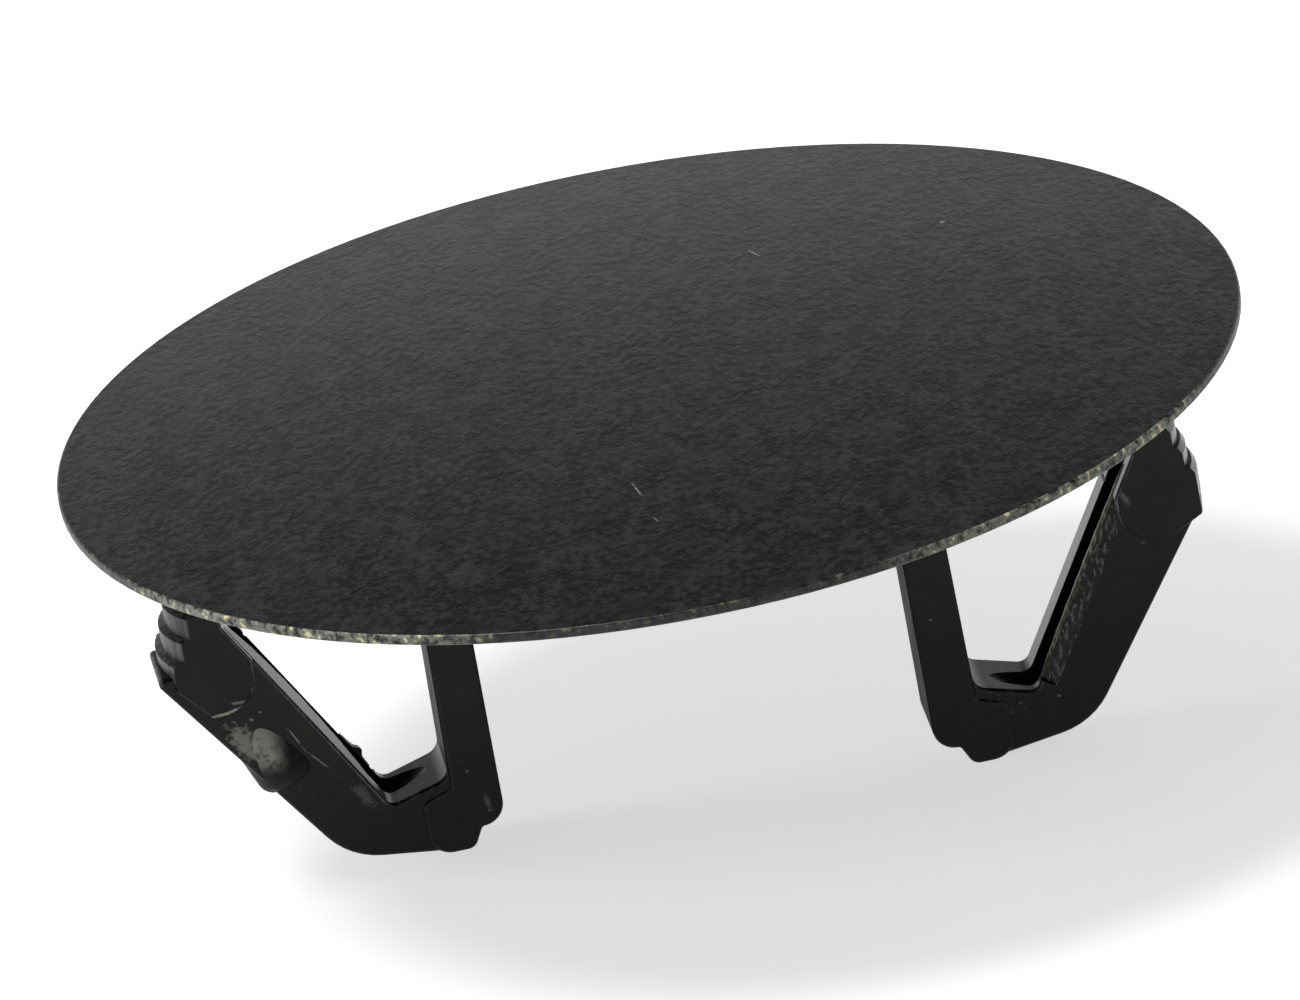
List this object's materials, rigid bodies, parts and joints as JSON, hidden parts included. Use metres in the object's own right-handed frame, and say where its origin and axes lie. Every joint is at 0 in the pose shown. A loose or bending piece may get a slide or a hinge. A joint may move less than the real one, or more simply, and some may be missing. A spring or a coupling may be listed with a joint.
{
  "type": "plastic hole plug",
  "caption": "Round snap-in hole plug: a thin crowned cover disc with V-shaped spring legs under it that end in stepped catches.",
  "frame": {"origin": "on the cover disc's axis, in the plane where its rim seats on the panel", "axes": "+Z out of the panel along the disc's axis, legs in the XZ plane"},
  "size_m": [0.03, 0.03, 0.0119],
  "materials": {
    "black_nylon": "fine grain on the cover's top, smooth and half-gloss on the legs, worn lighter along the rim"
  },
  "bodies": {
    "root": {"hole_plug": "black_nylon"}
  },
  "joints": []
}
